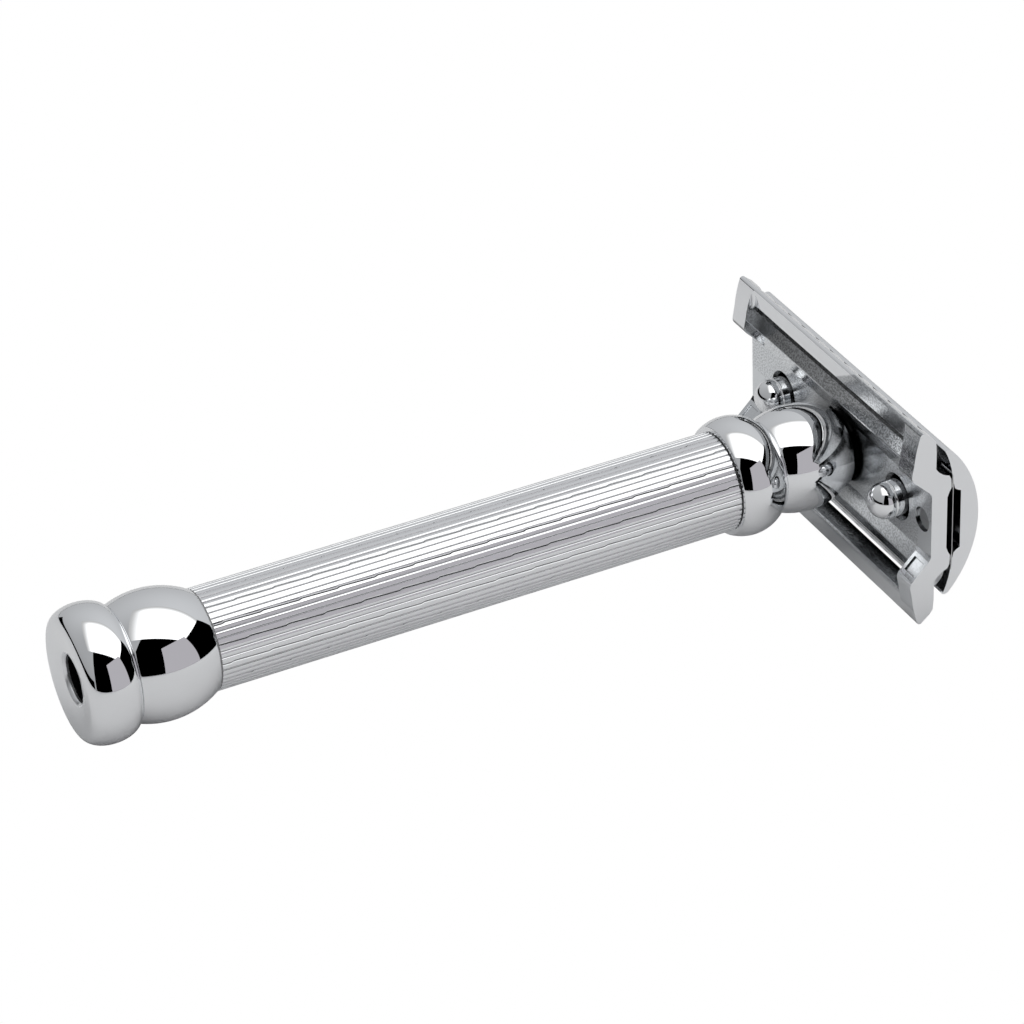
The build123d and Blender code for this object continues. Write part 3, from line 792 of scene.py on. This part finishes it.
def glow(name, colour, strength, fade=0.0, rim=0.0):
    """Light panel; its left and far edges may fade to the light of what is behind them."""
    material = bpy.data.materials.new(name)
    material.use_nodes = True
    tree = material.node_tree
    tree.nodes.clear()
    power = strength
    if fade:
        uv = add_node(tree, "ShaderNodeSeparateXYZ", {0: add_node(tree, "ShaderNodeTexCoord").outputs["UV"]})
        left = ramp(tree, uv.outputs["X"], 0.0, fade)
        far = ramp(tree, uv.outputs["Y"], 1.0, 1.0 - fade)
        power = ramp(tree, calc(tree, "MULTIPLY", left, far), 0.0, 1.0, rim, strength, smooth=False)
    emission = add_node(tree, "ShaderNodeEmission", {"Color": (*colour, 1.0), "Strength": power})
    output = add_node(tree, "ShaderNodeOutputMaterial")
    tree.links.new(emission.outputs[0], output.inputs["Surface"])
    return material


def floor_material():
    """Pale matte table: white to the camera, and open from behind so that it never hides the object."""
    material = bpy.data.materials.new("pale_floor")
    material.use_nodes = True
    tree = material.node_tree
    tree.nodes.clear()
    place = object_place(tree)
    fibre = noise(tree, place, 300, detail=3)
    tint = blend_colour(tree, fibre, grey(FLOOR_ALBEDO * 0.98), grey(FLOOR_ALBEDO))
    matte = add_node(tree, "ShaderNodeBsdfDiffuse", {"Color": tint})
    white = add_node(tree, "ShaderNodeEmission", {"Color": grey(1.0), "Strength": 1.0})
    clear = add_node(tree, "ShaderNodeBsdfTransparent")
    seen = add_node(tree, "ShaderNodeLightPath").outputs["Is Camera Ray"]
    behind = add_node(tree, "ShaderNodeNewGeometry").outputs["Backfacing"]
    front = add_node(tree, "ShaderNodeMixShader", {0: seen, 1: matte.outputs[0], 2: white.outputs[0]})
    both = add_node(tree, "ShaderNodeMixShader", {0: behind, 1: front.outputs[0], 2: clear.outputs[0]})
    output = add_node(tree, "ShaderNodeOutputMaterial")
    tree.links.new(both.outputs[0], output.inputs["Surface"])
    return material


def studio_world(forward, right, up):
    """White to the camera. Reflections see a grey backdrop, and a dark room on the camera's side."""
    world = bpy.data.worlds.new("studio")
    bpy.context.scene.world = world
    world.use_nodes = True
    tree = world.node_tree
    tree.nodes.clear()
    toward = add_node(tree, "ShaderNodeTexCoord").outputs["Generated"]

    def part_along(axis):
        inputs = {0: toward, 1: tuple(axis)}
        return add_node(tree, "ShaderNodeVectorMath", inputs, operation="DOT_PRODUCT").outputs["Value"]

    rise = part_along(up)
    bearing = calc(tree, "ARCTAN2", part_along(right), part_along(forward))
    bearing = calc(tree, "MODULO", calc(tree, "ADD", bearing, 2 * FULL_TURN), FULL_TURN)

    def between(low, high):
        after = calc(tree, "GREATER_THAN", bearing, low)
        return calc(tree, "MULTIPLY", after, calc(tree, "LESS_THAN", bearing, high))

    wall_top = calc(tree, "MULTIPLY", between(WALL_FROM, WALL_TO), WALL_RISE)
    lit = calc(tree, "MULTIPLY", calc(tree, "SUBTRACT", 1.0, between(DARK_FROM, DARK_TO)),
               calc(tree, "GREATER_THAN", rise, wall_top))
    swing = calc(tree, "COSINE", calc(tree, "SUBTRACT", bearing, BACKDROP_BRIGHTEST))
    level = ramp(tree, swing, -1.0, 1.0, BACKDROP_LIGHT - BACKDROP_SWING, BACKDROP_LIGHT + BACKDROP_SWING, smooth=False)
    level = calc(tree, "MULTIPLY", level, ramp(tree, rise, 0.0, 0.8, BACKDROP_LOW_SHARE, 1.0))
    strength = calc(tree, "MULTIPLY", lit, level)
    room = add_node(tree, "ShaderNodeBackground", {"Color": (0.985, 1.0, 1.02, 1.0), "Strength": strength})
    white = add_node(tree, "ShaderNodeBackground", {"Color": grey(1.0), "Strength": 1.0})
    seen = add_node(tree, "ShaderNodeLightPath").outputs["Is Camera Ray"]
    mixed = add_node(tree, "ShaderNodeMixShader", {0: seen, 1: room.outputs[0], 2: white.outputs[0]})
    output = add_node(tree, "ShaderNodeOutputWorld")
    tree.links.new(mixed.outputs[0], output.inputs["Surface"])


def build_studio():
    origin, forward, right, up = table_axes()
    studio_world(forward, right, up)
    stage_plane("floor", origin, right, forward, 2 * FLOOR_RADIUS, 2 * FLOOR_RADIUS, floor_material())
    box_centre = (origin + up * SOFTBOX_HEIGHT
                  + forward * (SOFTBOX_NEAR + SOFTBOX_FAR) / 2 + right * (SOFTBOX_LEFT + SOFTBOX_RIGHT) / 2)
    softbox = stage_plane("softbox", box_centre, right, forward, SOFTBOX_RIGHT - SOFTBOX_LEFT,
                          SOFTBOX_FAR - SOFTBOX_NEAR, glow("softbox_light", (1.0, 1.0, 0.995), SOFTBOX_LIGHT, SOFTBOX_FADE, BACKDROP_LIGHT))
    heading = forward * math.cos(CARD_BEARING) + right * math.sin(CARD_BEARING)
    card_centre = origin + heading * CARD_DISTANCE + up * (CARD_LIFT + CARD_HEIGHT / 2)
    card = stage_plane("grey_card", card_centre, heading.cross(up), up, CARD_WIDTH, CARD_HEIGHT,
                       glow("card_light", CARD_LIGHT, 1.0))
    for panel in (softbox, card):
        panel.visible_camera = False
        panel.visible_shadow = False
    bpy.context.scene.view_settings.view_transform = "Standard"


# ---------------------------------------------------------------- assembly
mirror = chrome()
satin = cast_chrome()
brass = turned_metal("brass_core", (0.62, 0.45, 0.19), (0.80, 0.62, 0.30), 0.28)
steel = turned_metal("steel", (0.45, 0.46, 0.48), (0.62, 0.63, 0.65), 0.25)
plated = turned_metal("brass_plated", (0.70, 0.70, 0.71), (0.86, 0.86, 0.87), 0.12)
CAD_MATERIALS = {
    "tie_bolt": steel,
    "lock_washer": steel,
    "core_tube": brass,
    "seal_rings": rubber(),
    "thread_bush": brass,
    "baseplate": satin,
    "razor_blade": blade_steel(),
    "cap": mirror,
}
for node_name, finish in CAD_MATERIALS.items():
    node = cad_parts[node_name]
    node.data.materials.clear()
    node.data.materials.append(finish)
for node_name in ("baseplate", "cap"):
    round_edges(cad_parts[node_name])

pommel_knob(mirror)
pommel_ball(mirror)
grip_tube(lined_chrome(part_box("grip_tube")[1].x))
neck_collar(mirror)
neck_ball(mirror)
studs(mirror)
cap_screw(plated)

place_camera(cad_low, cad_high)
build_studio()
